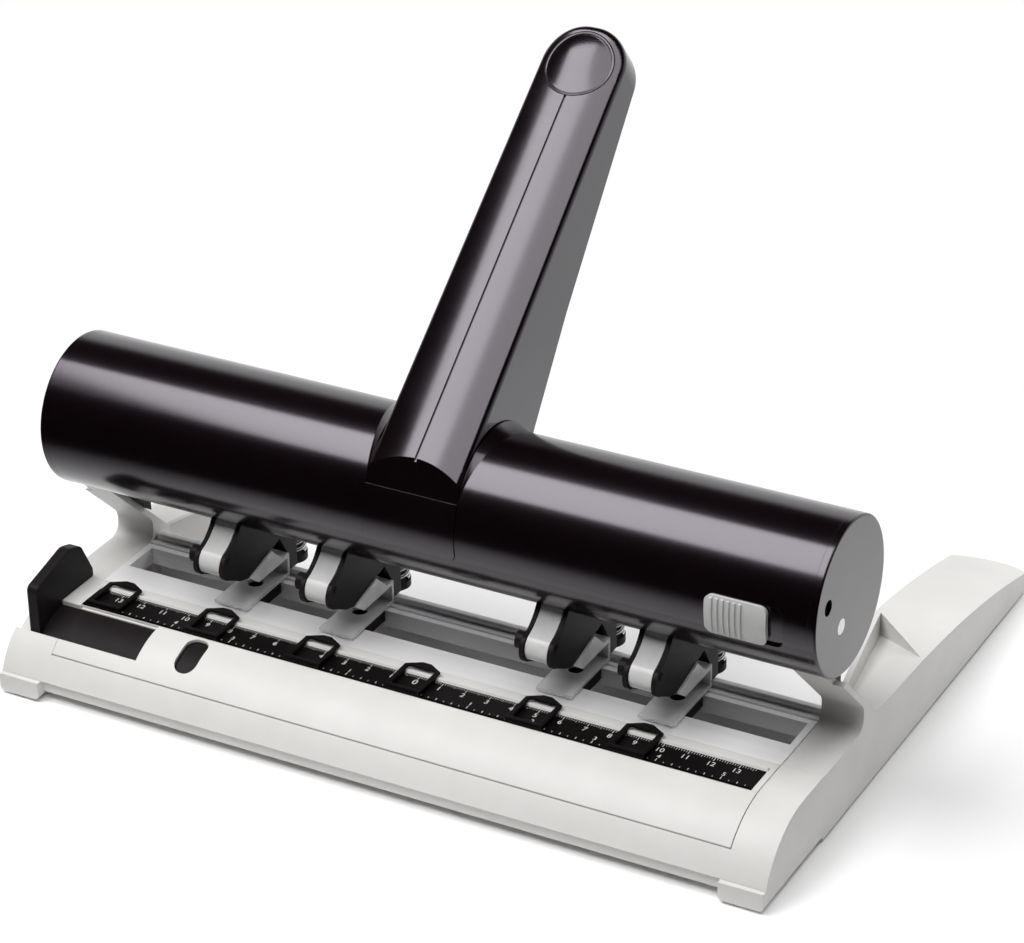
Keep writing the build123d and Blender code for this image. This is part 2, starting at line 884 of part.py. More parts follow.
# Lock slide
with BuildPart() as lock_slide:
    add(lock_form(lock_length, tube_radius + lock_proud, lock_recess + sliding_gap, 0))
    with BuildSketch(side_at(lock_left + lock_length / 2 - lock_stem + sliding_gap)):
        tube_sector(
            tube_radius,
            tube_inside - lock_hook_depth,
            lock_middle - lock_slot_angle,
            lock_middle + lock_slot_angle,
        )
    extrude(amount=2 * lock_stem - sliding_gap)
    with BuildSketch(side_at(lock_left + lock_length / 2 - lock_hook_half)):
        tube_sector(
            tube_inside - sliding_gap,
            tube_inside - lock_hook_depth,
            lock_middle - 2 * lock_slot_angle,
            lock_middle + 2 * lock_slot_angle,
        )
    extrude(amount=2 * lock_hook_half)
    with BuildSketch(side_at(lock_left + lock_rib_start)) as rib:
        tube_sector(
            tube_radius + lock_proud + lock_rib_height,
            tube_radius,
            lock_top_angle + lock_rib_inset,
            lock_bottom_angle - lock_rib_inset,
        )
    for place in range(lock_ribs):
        extrude(rib.sketch.moved(Location((place * lock_rib_pitch, 0, 0))), amount=lock_rib_pitch / 2)
keep(lock_slide, "lock_slide")


# Punch heads
sole_bottom = table_top + sliding_gap
sole_top = sole_bottom + sole_thickness
sole_end = rail_back - rail_ridge_depth - sliding_gap
tongue_top = sole_top + tongue_thickness
flange_inner = head_half - flange
seat_length = spring_back - column_back + seat_reach
chin = (chin_back, chin_height)
brow = (brow_back, brow_height)
collar = (collar_back, collar_height)
guide_end = column_front - seat_gap
clip_bend = (clip_bend_back, clip_bend_height)
clip_brow = (clip_brow_back, clip_brow_height)
clip_chin = (clip_chin_back, clip_chin_height)


def coil(x, back, low, high, radius, turns):
    """Tangent arcs, two to a quarter turn, that follow a helix of the given turns."""
    quarters = 4 * turns
    rise = (high - low) / quarters
    lean = Vector(0, 0, 2 * rise / (pi * radius))
    points = []
    headings = []
    for step in range(quarters + 1):
        angle = step * pi / 2
        points.append(Vector(x + radius * cos(angle), front + back + radius * sin(angle), low + step * rise))
        headings.append((Vector(-sin(angle), cos(angle), 0) + lean).normalized())
    for step in range(quarters):
        chord = points[step + 1] - points[step]
        both = headings[step] + headings[step + 1]
        bend = 2 * (1 - headings[step].dot(headings[step + 1]))
        reach = (sqrt(chord.dot(both) ** 2 + bend * chord.dot(chord)) - chord.dot(both)) / bend
        first = points[step] + headings[step] * reach
        second = points[step + 1] - headings[step + 1] * reach
        middle = (first + second) * 0.5
        TangentArc(points[step], middle, tangent=headings[step])
        TangentArc(middle, points[step + 1], tangent=(second - first).normalized())


def report_gap(line, name):
    """Print the least distance between the wire of one turn and the wire of the next."""
    per_turn = 36
    count = per_turn * spring_turns
    points = [line @ (step / count) for step in range(count + 1)]
    least = min(
        (points[later] - points[step]).length
        for step in range(count + 1)
        for later in range(step + per_turn // 2, count + 1)
    )
    print(f"{name} least gap between turns {least - spring_wire:.2f} mm")


def build_head(number, x):
    # Frame: two flanges with an S-shaped front, a bore on the axle and a sole on the rail
    with BuildPart() as frame:
        with BuildSketch(side_at(x - head_half)):
            with BuildLine():
                ThreePointArc(
                    (axle_back - eye_radius, axle_height),
                    (axle_back, axle_height + eye_radius),
                    (axle_back + eye_radius, axle_height),
                )
                Polyline(
                    (axle_back + eye_radius, axle_height),
                    (neck_back, neck_height),
                    (column_back, column_top),
                    (column_back, table_top + rail_ridge_height + sliding_gap),
                    (column_front, table_top + rail_ridge_height + sliding_gap),
                    (column_front, wedge_rear_height),
                    (wedge_rear_back, guide_bottom + block_clear),
                    (wedge_high_back, wedge_high_height),
                    (wedge_front_back, wedge_front_height),
                    (tail_back, tail_height),
                    chin,
                )
                ThreePointArc(chin, (nose_back, nose_height), brow)
                ThreePointArc(brow, (throat_bend_back, throat_bend_height), collar)
                Line(collar, (axle_back - eye_radius, axle_height))
            make_face()
            with Locations((axle_back, axle_height)):
                Circle(axle_radius + bore_gap, mode=Mode.SUBTRACT)
        extrude(amount=2 * head_half)
        with BuildSketch(side_at(x - flange_inner)):
            with Locations((0, 0)):
                Rectangle(depth, 2 * depth, align=(Align.MIN, Align.CENTER))
        extrude(amount=2 * flange_inner, mode=Mode.SUBTRACT)
        with BuildSketch(side_at(x - head_half)):
            with Locations((guide_front, guide_bottom)):
                Rectangle(guide_back - guide_front, guide_top - guide_bottom, align=Align.MIN)
        extrude(amount=2 * head_half)
        with BuildSketch(side_at(x - head_half)):
            with Locations((slot_front, sole_bottom)):
                Rectangle(sole_end - slot_front, sole_thickness, align=Align.MIN)
            with Locations((slot_front + sliding_gap, sole_top)):
                Rectangle(
                    slot_back - slot_front - 2 * sliding_gap,
                    die_depth + sole_thickness,
                    align=(Align.MIN, Align.MAX),
                )
        extrude(amount=2 * head_half)
        with BuildSketch(side_at(x - head_half)):
            with Locations((guide_end, sole_bottom)):
                Rectangle(sole_web, sole_web_height, align=Align.MIN)
            with Locations((column_back - column_web, table_top + rail_ridge_height + sliding_gap)):
                Rectangle(column_web, column_web_height, align=Align.MIN)
        extrude(amount=2 * head_half)
        with BuildSketch(side_at(x)):
            with Locations((pivot_back, pivot_height)):
                Circle(pivot_radius)
        extrude(amount=head_half + pivot_proud, both=True)
        with BuildSketch(side_at(x - head_half)):
            with Locations((pivot_back, pivot_height)):
                Circle(pivot_boss_radius)
        extrude(amount=-pivot_boss_depth)
        with BuildSketch(top_at(sole_bottom)):
            with Locations((x, spring_back)):
                Circle(spring_seat_radius)
            with Locations((x, column_back)):
                Rectangle(2 * flange_inner, seat_length, align=(Align.CENTER, Align.MIN))
        extrude(amount=spring_seat - sole_bottom)
        with BuildSketch(top_at(sole_bottom - die_depth)):
            with Locations((x, pin_back)):
                Circle(pin_radius + die_gap)
        extrude(amount=sole_top - sole_bottom + die_depth, mode=Mode.SUBTRACT)
        with BuildSketch(top_at(guide_bottom)):
            with Locations((x, pin_back)):
                Circle(pin_radius + bore_gap)
        extrude(amount=guide_top - guide_bottom, mode=Mode.SUBTRACT)
    keep(frame, f"head_frame_{number}")

    # Clear guide: a tongue on the rail, a paper stop and a wedge that leads the paper in
    with BuildPart() as paper_guide:
        with BuildSketch(side_at(x - guide_half)):
            with BuildLine():
                Polyline(
                    (tongue_front, sole_top),
                    (guide_end, sole_top),
                    (guide_end, wedge_rear_height),
                    (wedge_rear_back, wedge_rear_height),
                    (wedge_high_back, wedge_high_height),
                    (wedge_front_back, wedge_front_height),
                    (wedge_mouth_back, wedge_underside),
                    (paper_stop_back, wedge_underside),
                    (paper_stop_back, tongue_top),
                    (tongue_front, tongue_top),
                    close=True,
                )
            make_face()
        extrude(amount=2 * guide_half)
        with BuildSketch(top_at(sole_top)):
            with Locations((x, pin_back)):
                Circle(pin_radius + sliding_gap)
        extrude(amount=guide_bottom - sole_top, mode=Mode.SUBTRACT)
    keep(paper_guide, f"paper_guide_{number}")

    # Release clip: an S-shaped strip on the pivot between the flanges
    with BuildPart() as clip:
        with BuildSketch(side_at(x)):
            with BuildLine():
                Line((clip_top_back, clip_top_height), clip_bend)
                ThreePointArc(clip_bend, (clip_waist_back, clip_waist_height), clip_brow)
                ThreePointArc(clip_brow, (clip_nose_back, clip_nose_height), clip_chin)
                Line(clip_chin, (clip_end_back, clip_end_height))
            trace(line_width=clip_thickness)
            with Locations((pivot_back, pivot_height)):
                Circle(clip_hub)
                Circle(pivot_radius + bore_gap, mode=Mode.SUBTRACT)
        extrude(amount=clip_half, both=True)
    keep(clip, f"release_clip_{number}")

    # Carriage between the flanges, pushed from above by the press bar
    with BuildPart() as carriage:
        with BuildSketch(side_at(x)):
            with BuildLine():
                Polyline(
                    (carriage_front, carriage_bottom),
                    (carriage_drop_front, carriage_bottom),
                    (carriage_drop_front, arm_bottom),
                    (spring_back + spring_radius, arm_bottom),
                    (spring_back + spring_radius, arm_top),
                    (carriage_back, arm_top),
                    (carriage_back, carriage_top),
                    (bar_back - bar_nose_radius, carriage_top),
                    (carriage_front, carriage_top - carriage_bevel),
                    close=True,
                )
            make_face()
        extrude(amount=carriage_half, both=True)
    keep(carriage, f"carriage_{number}")

    # Punch pin
    with BuildPart() as pin:
        with BuildSketch(top_at(pin_tip)):
            with Locations((x, pin_back)):
                Circle(pin_radius)
        extrude(amount=carriage_bottom - pin_tip)
    keep(pin, f"punch_pin_{number}")

    # Return spring
    low = spring_seat + spring_wire / 2
    high = arm_bottom - spring_wire / 2
    with BuildPart() as spring:
        with BuildLine() as path:
            coil(x, spring_back, low, high, spring_radius, spring_turns)
        report_gap(path.line, f"return_spring_{number}")
        with BuildSketch(Plane(origin=path.line @ 0, z_dir=path.line % 0)):
            Circle(spring_wire / 2)
        sweep(path=path.line)
    keep(spring, f"return_spring_{number}")


for number, place in enumerate(head_places, start=1):
    build_head(number, place)


# Scale markers
def build_marker(number, x):
    marker_bottom = table_top + sliding_gap
    with BuildPart() as marker:
        with BuildSketch(top_at(marker_bottom)) as outline:
            with BuildLine():
                Polyline(
                    (x - marker_half, marker_front),
                    (x + marker_half, marker_front),
                    (x + marker_half, marker_shoulder),
                    (x + marker_tip_half, marker_back),
                    (x - marker_tip_half, marker_back),
                    (x - marker_half, marker_shoulder),
                    close=True,
                )
            make_face()
            fillet(outline.vertices(), radius=marker_round)
            with Locations((x, marker_window_front)):
                RectangleRounded(
                    2 * marker_window_half,
                    marker_window_back - marker_window_front,
                    marker_round,
                    align=(Align.CENTER, Align.MIN),
                    mode=Mode.SUBTRACT,
                )
        extrude(amount=marker_thickness)
        with BuildSketch(top_at(marker_bottom)):
            with Locations((x, ruler_front - groove_width / 2)):
                Rectangle(2 * marker_half, groove_width - 2 * sliding_gap)
        extrude(amount=-groove_depth + sliding_gap)
        with BuildSketch(side_at(x - marker_half)):
            with Locations((bead_back, table_top)):
                Circle(bead_radius + sliding_gap)
        extrude(amount=2 * marker_half, mode=Mode.SUBTRACT)
    keep(marker, f"marker_{number}")


for number, place in enumerate(marker_places, start=1):
    build_marker(number, place)
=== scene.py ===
# %% [markdown]
# # A desktop hole punch, dressed for the camera
#
# The punch arrives as a imported model: one object for each piece, all in metres and already in place.
# We load it first, because every later step hangs on those pieces, and we note its size.

# %% Load the imported punch
import json
import math

import bmesh
import bpy
from mathutils import Matrix, Vector


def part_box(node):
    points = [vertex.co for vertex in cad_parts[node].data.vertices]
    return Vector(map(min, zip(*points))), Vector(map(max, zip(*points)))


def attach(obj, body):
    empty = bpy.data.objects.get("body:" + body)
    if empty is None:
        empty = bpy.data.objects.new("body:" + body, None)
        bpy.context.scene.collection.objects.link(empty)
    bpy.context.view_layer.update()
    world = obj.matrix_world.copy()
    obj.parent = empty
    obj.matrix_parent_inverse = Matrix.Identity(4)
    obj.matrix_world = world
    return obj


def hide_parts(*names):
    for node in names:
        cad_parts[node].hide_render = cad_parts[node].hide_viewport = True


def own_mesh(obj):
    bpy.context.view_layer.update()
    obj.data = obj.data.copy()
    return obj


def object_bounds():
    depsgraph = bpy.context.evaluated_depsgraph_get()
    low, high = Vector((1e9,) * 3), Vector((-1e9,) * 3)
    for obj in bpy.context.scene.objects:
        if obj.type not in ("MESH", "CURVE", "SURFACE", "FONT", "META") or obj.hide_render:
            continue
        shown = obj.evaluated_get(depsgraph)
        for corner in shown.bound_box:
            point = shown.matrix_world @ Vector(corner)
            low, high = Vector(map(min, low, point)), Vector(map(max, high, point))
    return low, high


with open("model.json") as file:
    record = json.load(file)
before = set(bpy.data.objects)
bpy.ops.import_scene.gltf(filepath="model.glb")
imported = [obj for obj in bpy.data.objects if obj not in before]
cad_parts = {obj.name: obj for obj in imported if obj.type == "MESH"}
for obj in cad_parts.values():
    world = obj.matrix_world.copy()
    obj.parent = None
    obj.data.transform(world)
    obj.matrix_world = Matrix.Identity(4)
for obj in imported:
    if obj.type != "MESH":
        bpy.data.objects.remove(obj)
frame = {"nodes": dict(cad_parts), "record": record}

MM = 0.001
nodes = frame["nodes"]
cad_box = [list(corner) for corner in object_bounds()]
print("pieces", len(nodes), "box", cad_box)

# %% [markdown]
# ## Shader maths as plain sums
#
# A finish is a small network of nodes. Wiring each one by hand hides the idea, so one small class wraps
# the output of a node. Adding, subtracting or multiplying such a value adds a Math node, also when the
# plain number stands first, as in `1 - room`. Every other node comes from the one method `node`, which
# takes the node's type, its settings, and the values or links of its sockets.

# %% The value class
class Value:
    """An output of a shader node that can stand in an expression."""

    def __init__(self, tree, socket=None):
        self.tree = tree
        self.socket = socket

    def node(self, kind, settings=None, sockets=None, output=0):
        made = self.tree.nodes.new(kind)
        for name, setting in (settings or {}).items():
            setattr(made, name, setting)
        for name, value in (sockets or {}).items():
            if isinstance(value, Value):
                self.tree.links.new(value.socket, made.inputs[name])
            else:
                made.inputs[name].default_value = value
        return Value(self.tree, made.outputs[output])

    def math(self, operation, first, second):
        return self.node("ShaderNodeMath", {"operation": operation}, {0: first, 1: second})

    def __add__(self, other):
        return self.math("ADD", self, other)

    def __radd__(self, other):
        return self.math("ADD", other, self)

    def __sub__(self, other):
        return self.math("SUBTRACT", self, other)

    def __rsub__(self, other):
        return self.math("SUBTRACT", other, self)

    def __mul__(self, other):
        return self.math("MULTIPLY", self, other)

    def __rmul__(self, other):
        return self.math("MULTIPLY", other, self)


# %% [markdown]
# ## What all the finishes share
#
# Every finish is one Principled shader. Numbers that are the same all over a surface are set on the
# shader itself, and only what changes over the surface is linked. Each material is kept under the name of
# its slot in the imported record, so that the pieces can find it later.

# %% Start and keep a finish
finishes = {}


def new_finish(name, **constants):
    """A material, its shader with the constant sockets set, and a value to start its nodes from."""
    material = bpy.data.materials.new(name)
    material.use_nodes = True
    shader = material.node_tree.nodes["Principled BSDF"]
    for socket, value in constants.items():
        shader.inputs[socket.replace("_", " ")].default_value = value
    return material, shader, Value(material.node_tree)


def link(value, shader, socket):
    value.tree.links.new(value.socket, shader.inputs[socket])


def keep_finish(slot, material):
    finishes[slot] = material
    print("finish", material.name, "with", len(material.node_tree.nodes), "nodes")


# %% [markdown]
# A few helpers cover most of what changes over a surface: a grain that can be stretched along an axis, a
# blend of two colours, and a bump from a height. Painted pictures could do the same, but each piece would
# have to be unfolded for them, while noise simply fills the space of the piece. The edges of the packed
# pieces are mathematically sharp, and a moulded or machined edge is always a little round and catches light.
# So the bump starts from a Bevel node, which rounds the shading of an edge without new geometry.

# %% Grain, blend and relief
noise_low, noise_high = 0.3, 0.7
grain_roughness = 0.6
edge_samples = 4


def grain(start, scale, stretch=(1, 1, 1), detail=3.0):
    """Noise that is fixed to the piece: scale is in grains for each metre."""
    place = start.node("ShaderNodeTexCoord", output="Object")
    stretched = start.node("ShaderNodeMapping", None, {"Vector": place, "Scale": stretch})
    sockets = {"Vector": stretched, "Scale": scale, "Detail": detail, "Roughness": grain_roughness}
    return start.node("ShaderNodeTexNoise", None, sockets)


def spread(value, low=0.0, high=1.0):
    """Noise mostly keeps to a narrow band: stretch that band to the range wanted."""
    sockets = {"Value": value, "From Min": noise_low, "From Max": noise_high, "To Min": low, "To Max": high}
    return value.node("ShaderNodeMapRange", None, sockets)


def blend_colors(factor, low, high):
    sockets = {0: factor, 6: (*low, 1), 7: (*high, 1)}
    return factor.node("ShaderNodeMix", {"data_type": "RGBA"}, sockets, output=2)


def bump(height, shader, strength, depth, edge=0.35 * MM):
    """A fine relief on top of edges that are rounded by a radius in metres."""
    rounded_edge = height.node("ShaderNodeBevel", {"samples": edge_samples}, {"Radius": edge})
    sockets = {"Height": height, "Strength": strength, "Distance": depth, "Normal": rounded_edge}
    link(height.node("ShaderNodeBump", None, sockets), shader, "Normal")


# %% [markdown]
# ## Light grey moulding
#
# The base is moulded in a warm light grey with a fine spark-eroded grain. One flat colour would look like
# paint on its big faces, so a wide, faint mottle goes into the colour, and the grain goes into the bump and
# a little into the roughness.

# %% The grey of the base
def grey_moulding():
    material, shader, start = new_finish("grey_moulding", IOR=1.5, Specular_IOR_Level=0.3)
    mottle = spread(grain(start, scale=38))
    link(blend_colors(mottle, (0.70, 0.692, 0.676), (0.745, 0.737, 0.72)), shader, "Base Color")
    fine = grain(start, scale=2600, detail=2.0)
    uneven = spread(grain(start, scale=90), -0.03, 0.03)
    link(spread(fine, 0.34, 0.46) + uneven, shader, "Roughness")
    bump(fine, shader, strength=0.12, depth=0.06 * MM)
    return material


keep_finish("grey_body", grey_moulding())

# %% [markdown]
# ## Black moulding
#
# The tube and the lever are a black plastic that reads slightly purple where it catches light. It is smooth
# enough for a long soft highlight. A thin coat gives the gloss, and very faint rubbing marks along the tube
# break up the reflection. The rounding of the edges is left open, because the small thumb pad needs less.

# %% The black of the tube
def black_moulding(name, edge):
    material, shader, start = new_finish(
        name,
        IOR=1.5,
        Specular_IOR_Level=0.5,
        Specular_Tint=(0.96, 0.86, 1.0, 1),
        Coat_Weight=0.45,
        Coat_Roughness=0.14,
    )
    mottle = spread(grain(start, scale=30))
    link(blend_colors(mottle, (0.0026, 0.0010, 0.0016), (0.0036, 0.0016, 0.0022)), shader, "Base Color")
    rubbed = grain(start, scale=60, stretch=(0.12, 1, 1), detail=5.0)
    fine = grain(start, scale=3000, detail=2.0)
    link(spread(rubbed, 0.17, 0.22) + spread(fine, -0.02, 0.02), shader, "Roughness")
    bump(fine, shader, strength=0.05, depth=0.03 * MM, edge=edge)
    return material


keep_finish("black_plastic", black_moulding("black_moulding", edge=0.25 * MM))

# %% [markdown]
# ## Flat blacks
#
# The heads, the brackets and the paper stop have a grained black that hardly shines, so that their shapes
# stay dark beside the glossy tube. The scale strip and its markers are blacker still, and the pieces inside
# the heads are dull. Three separate finishes would repeat the same nodes, so one function makes all three,
# with the tones, the shine and the range of roughness given.

# %% The flat blacks
def flat_black(name, dark, light, shine, rough):
    material, shader, start = new_finish(name, IOR=1.48, Specular_IOR_Level=shine)
    mottle = spread(grain(start, scale=120))
    link(blend_colors(mottle, dark, light), shader, "Base Color")
    fine = grain(start, scale=2200, detail=2.0)
    link(spread(fine, *rough), shader, "Roughness")
    bump(fine, shader, strength=0.1, depth=0.05 * MM)
    return material


black_tones = {
    "satin_black": ((0.010, 0.0075, 0.0085), (0.014, 0.011, 0.012)),
    "inner_black": ((0.012, 0.0105, 0.0115), (0.018, 0.016, 0.017)),
    "scale_black": ((0.003, 0.002, 0.0022), (0.0045, 0.003, 0.0033)),
}
black_shine = {"satin_black": 0.13, "inner_black": 0.2, "scale_black": 0.08}
black_rough = {"satin_black": (0.4, 0.5), "inner_black": (0.5, 0.65), "scale_black": (0.4, 0.5)}
for slot, (dark, light) in black_tones.items():
    keep_finish(slot, flat_black(slot, dark, light, black_shine[slot], black_rough[slot]))

# %% [markdown]
# ## Satin aluminium
#
# The die rail is an extruded and anodised section. Extrusion leaves lines along its length, so the grain is
# stretched many times along X: a slow streak for the tone and a fine one for the roughness and the bump. The
# anodised skin scatters light as a pale paint does, so the shader is only partly metallic.

# %% The rail's aluminium
def satin_aluminium():
    material, shader, start = new_finish("satin_aluminium", Metallic=0.15)
    streak = spread(grain(start, scale=260, stretch=(0.02, 1, 1), detail=4.0))
    link(blend_colors(streak, (0.90, 0.89, 0.90), (0.96, 0.95, 0.96)), shader, "Base Color")
    fine = grain(start, scale=1800, stretch=(0.01, 1, 1), detail=2.0)
    link(spread(fine, 0.30, 0.42), shader, "Roughness")
    bump(fine, shader, strength=0.15, depth=0.05 * MM, edge=0.2 * MM)
    return material


keep_finish("rail_aluminium", satin_aluminium())

# %% [markdown]
# ## Bright steel
#
# The springs, the punch pins and the axle are drawn steel: brighter and smoother than the rail, with a
# little variation so that a wire doesn't look like chrome.

# %% The steel of pins and springs
def drawn_steel():
    material, shader, start = new_finish("drawn_steel", Metallic=1.0)
    cloud = spread(grain(start, scale=400))
    link(blend_colors(cloud, (0.56, 0.56, 0.57), (0.68, 0.68, 0.69)), shader, "Base Color")
    drawn = grain(start, scale=1500, stretch=(0.1, 0.1, 1), detail=2.0)
    link(spread(drawn, 0.18, 0.30), shader, "Roughness")
    return material


keep_finish("steel", drawn_steel())

# %% [markdown]
# ## Frosted clear plastic
#
# The paper guides are clear plastic that has turned milky from moulding and handling. Transmission lets the
# rail show through, and the rest of the light is scattered by the pale base colour. Clouds in the roughness
# make some places clearer than others.

# %% The clear guides
def frosted_plastic():
    material, shader, start = new_finish(
        "frosted_plastic", IOR=1.3, Transmission_Weight=0.45, Specular_IOR_Level=0.7
    )
    cloud = spread(grain(start, scale=60))
    link(blend_colors(cloud, (0.86, 0.855, 0.86), (0.93, 0.925, 0.93)), shader, "Base Color")
    link(spread(cloud, 0.20, 0.26), shader, "Roughness")
    return material


keep_finish("clear_plastic", frosted_plastic())

# %% [markdown]
# ## Pale grey clips and rubber pads
#
# The release clips and the lock slide are a cooler grey than the base, with the same kind of grain. The
# pads under the feet are a soft dark rubber, rough and with a deeper grain.

# %% Clips and pads
def pale_clip():
    material, shader, start = new_finish("clip_grey", IOR=1.5, Specular_IOR_Level=0.5)
    mottle = spread(grain(start, scale=150))
    link(blend_colors(mottle, (0.66, 0.66, 0.655), (0.72, 0.72, 0.715)), shader, "Base Color")
    fine = grain(start, scale=2400, detail=2.0)
    link(spread(fine, 0.28, 0.40), shader, "Roughness")
    bump(fine, shader, strength=0.06, depth=0.04 * MM)
    return material


def soft_rubber():
    material, shader, start = new_finish("soft_rubber", IOR=1.5, Specular_IOR_Level=0.3)
    mottle = spread(grain(start, scale=300))
    link(blend_colors(mottle, (0.035, 0.035, 0.035), (0.06, 0.06, 0.058)), shader, "Base Color")
    fine = grain(start, scale=1600, detail=3.0)
    link(spread(fine, 0.7, 0.9), shader, "Roughness")
    bump(fine, shader, strength=0.25, depth=0.1 * MM)
    return material


keep_finish("clip_grey", pale_clip())
keep_finish("rubber_pad", soft_rubber())

# %% [markdown]
# ## Give every piece its finish
#
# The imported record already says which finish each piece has, by the name of a material slot. We could name
# the pieces one by one, but the record can't forget one, so we walk through it and hand each piece the
# material of its slot. Only the end caps depart from it: they shine like the tube that they close.

# %% Hand out the finishes
subparts = frame["record"]["subparts"]
for entry in subparts:
    mesh = nodes[entry["node"]].data
    mesh.materials.clear()
    mesh.materials.append(finishes[entry["material_slot"]])
for cap in ("right_cap", "left_cap"):
    nodes[cap].data.materials[0] = finishes["black_plastic"]
print("finishes", len(finishes), "on", len(subparts), "pieces")

# %% [markdown]
# ## From points to a piece
#
# The next pieces are all built in the same way. Boxes, curves and points are gathered in one bmesh, which
# becomes an object at the end, gets its material and is told which body it rides on. A curve is only a way
# to draw: its mesh is taken over and the curve is thrown away.

# %% Gather meshes and finish a piece
def add_block(mesh, low, high):
    """One box in a bmesh, from its lowest to its highest corner."""
    size = high - low
    place = Matrix.Translation((low + high) / 2) @ Matrix.Diagonal((*size, 1))
    bmesh.ops.create_cube(mesh, size=1.0, matrix=place)


def add_curve(mesh, curve, place=(0, 0, 0)):
    """The surface of a curve, moved to its place and taken over into a bmesh."""
    drawn = bpy.data.objects.new(curve.name, curve)
    surface = bpy.data.meshes.new_from_object(drawn)
    surface.transform(Matrix.Translation(place))
    mesh.from_mesh(surface)
    bpy.data.objects.remove(drawn)
    bpy.data.curves.remove(curve)
    bpy.data.meshes.remove(surface)


def smooth_sides(mesh):
    """Shade the triangles and quads as one round surface, and leave the closing faces flat."""
    for face in mesh.faces:
        face.smooth = len(face.verts) < 5


def finish_piece(mesh, name, material, body):
    data = bpy.data.meshes.new(name)
    mesh.to_mesh(data)
    mesh.free()
    data.materials.append(material)
    piece = bpy.data.objects.new(name, data)
    bpy.context.scene.collection.objects.link(piece)
    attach(piece, body)
    return piece


# %% [markdown]
# ## Marks and numbers on the scale
#
# The strip carries a centimetre scale along its rear edge, counted from the middle both ways, and an inch
# scale along its front edge. A picture of the print could be laid on the strip, but real geometry stays sharp
# at any distance, so each mark is a very thin block. The paint is white and slightly uneven.

# %% The white print
def white_print():
    material, shader, start = new_finish("white_print", IOR=1.5)
    worn = spread(grain(start, scale=700))
    link(blend_colors(worn, (0.60, 0.60, 0.58), (0.82, 0.82, 0.80)), shader, "Base Color")
    link(spread(grain(start, scale=900), 0.45, 0.6), shader, "Roughness")
    return material


paint = white_print()
print_thickness = 0.03 * MM
strip_low, strip_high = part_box("ruler")
print("strip", [round(side / MM, 1) for side in strip_high - strip_low], "mm")

# %% [markdown]
# The marks come in three lengths, so that the eye finds the tens, the fives and the ones, and on the inch
# side the inches, the quarters and the eighths. The longer ones are also a little wider. All lengths are in
# millimetres.

# %% Print the marks
zero = 0.8
inch = 25.4
edge_gap = 0.25
wide_half, narrow_half = 0.12, 0.08
millimetre_lengths, last_millimetre = (2.0, 1.6, 1.1), 136
eighth_lengths, last_eighth = (1.7, 1.2, 0.8), 43


def rank(step, long_every, middle_every):
    """0 for a long mark, 1 for a middle one and 2 for a short one."""
    if step % long_every == 0:
        return 0
    return 1 if step % middle_every == 0 else 2


def add_mark(mesh, x, half, start, length):
    """One printed line on the strip: its place and half width across, its start and length in depth."""
    low = Vector(((x - half) * MM, start, strip_high.z))
    high = Vector(((x + half) * MM, start + length * MM, strip_high.z + print_thickness))
    add_block(mesh, low, high)


marks = bmesh.new()
for step in range(-last_millimetre, last_millimetre + 1):
    order = rank(step, 10, 5)
    length = millimetre_lengths[order]
    half = wide_half if order == 0 else narrow_half
    add_mark(marks, zero + step, half, strip_high.y - (edge_gap + length) * MM, length)
for step in range(-last_eighth, last_eighth + 1):
    order = rank(step, 8, 2)
    half = narrow_half if order == 2 else wide_half
    add_mark(marks, zero + step * inch / 8, half, strip_low.y + edge_gap * MM, eighth_lengths[order])
finish_piece(marks, "scale_marks", paint, "base")
print("marks", 2 * last_millimetre + 1, "and", 2 * last_eighth + 1)

# %% [markdown]
# The numbers stand beside their long marks, upright for someone who stands in front of the punch. They are
# cut from the built-in font as thin solids, because its outlines are already there. A digit is lower than
# the size of its font, so the height wanted is divided by that share.

# %% Print the numbers
digit_share = 0.7
zero_height, centimetre_height, inch_height = 3.0, 2.5, 2.1
centimetre_line = strip_high.y - 4.4 * MM
inch_line = strip_low.y + 3.5 * MM
last_centimetre, last_inch = 13, 5


def add_number(mesh, number, height, x, y):
    curve = bpy.data.curves.new("number", "FONT")
    curve.body = str(abs(number))
    curve.size = height * MM / digit_share
    curve.align_x = "CENTER"
    curve.align_y = "CENTER"
    curve.extrude = print_thickness / 2
    curve.resolution_u = 3
    add_curve(mesh, curve, (x * MM, y, strip_high.z + print_thickness / 2))


numbers = bmesh.new()
for number in range(-last_centimetre, last_centimetre + 1):
    height = centimetre_height if number else zero_height
    add_number(numbers, number, height, zero + number * 10, centimetre_line)
for number in range(-last_inch, last_inch + 1):
    if number:
        add_number(numbers, number, inch_height, zero + number * inch, inch_line)
finish_piece(numbers, "scale_numbers", paint, "base")
print("numbers up to", last_centimetre, "cm and", last_inch, "inches")

# %% [markdown]
# ## Thumb pad on the lever
#
# Near its tip the lever carries a round thumb pad inside a fine groove. The pad is nearly level with the
# lever at its front and falls away toward the tip and the left, so the light on it fades that way. It could
# be sculpted, but a disc of rings of points has its height in one formula. Each point takes the height of
# the lever's crowned top at its place, plus a rise: a low dome inside the groove, and a fixed profile of
# distances and rises from the groove outward. All of it is in millimetres.

# %% The shape of the thumb pad
lever_slope = math.radians(39.3)
lever_front = Vector((0, -79.0, 117.3))
lever_along = Vector((0, math.cos(lever_slope), math.sin(lever_slope)))
lever_up = Vector((0, -math.sin(lever_slope), math.cos(lever_slope)))
crown_radius = 53.7
pad_place = 164.3
dome_radius, dome_height, dome_rim = 12.3, 0.75, 0.15
dome_lean = 0.9
steepest = math.radians(115)
groove_profile = ((12.5, 0.15), (12.6, 0.07), (12.9, 0.07), (13.0, 0.15), (13.3, 0.14), (14.0, -0.1))


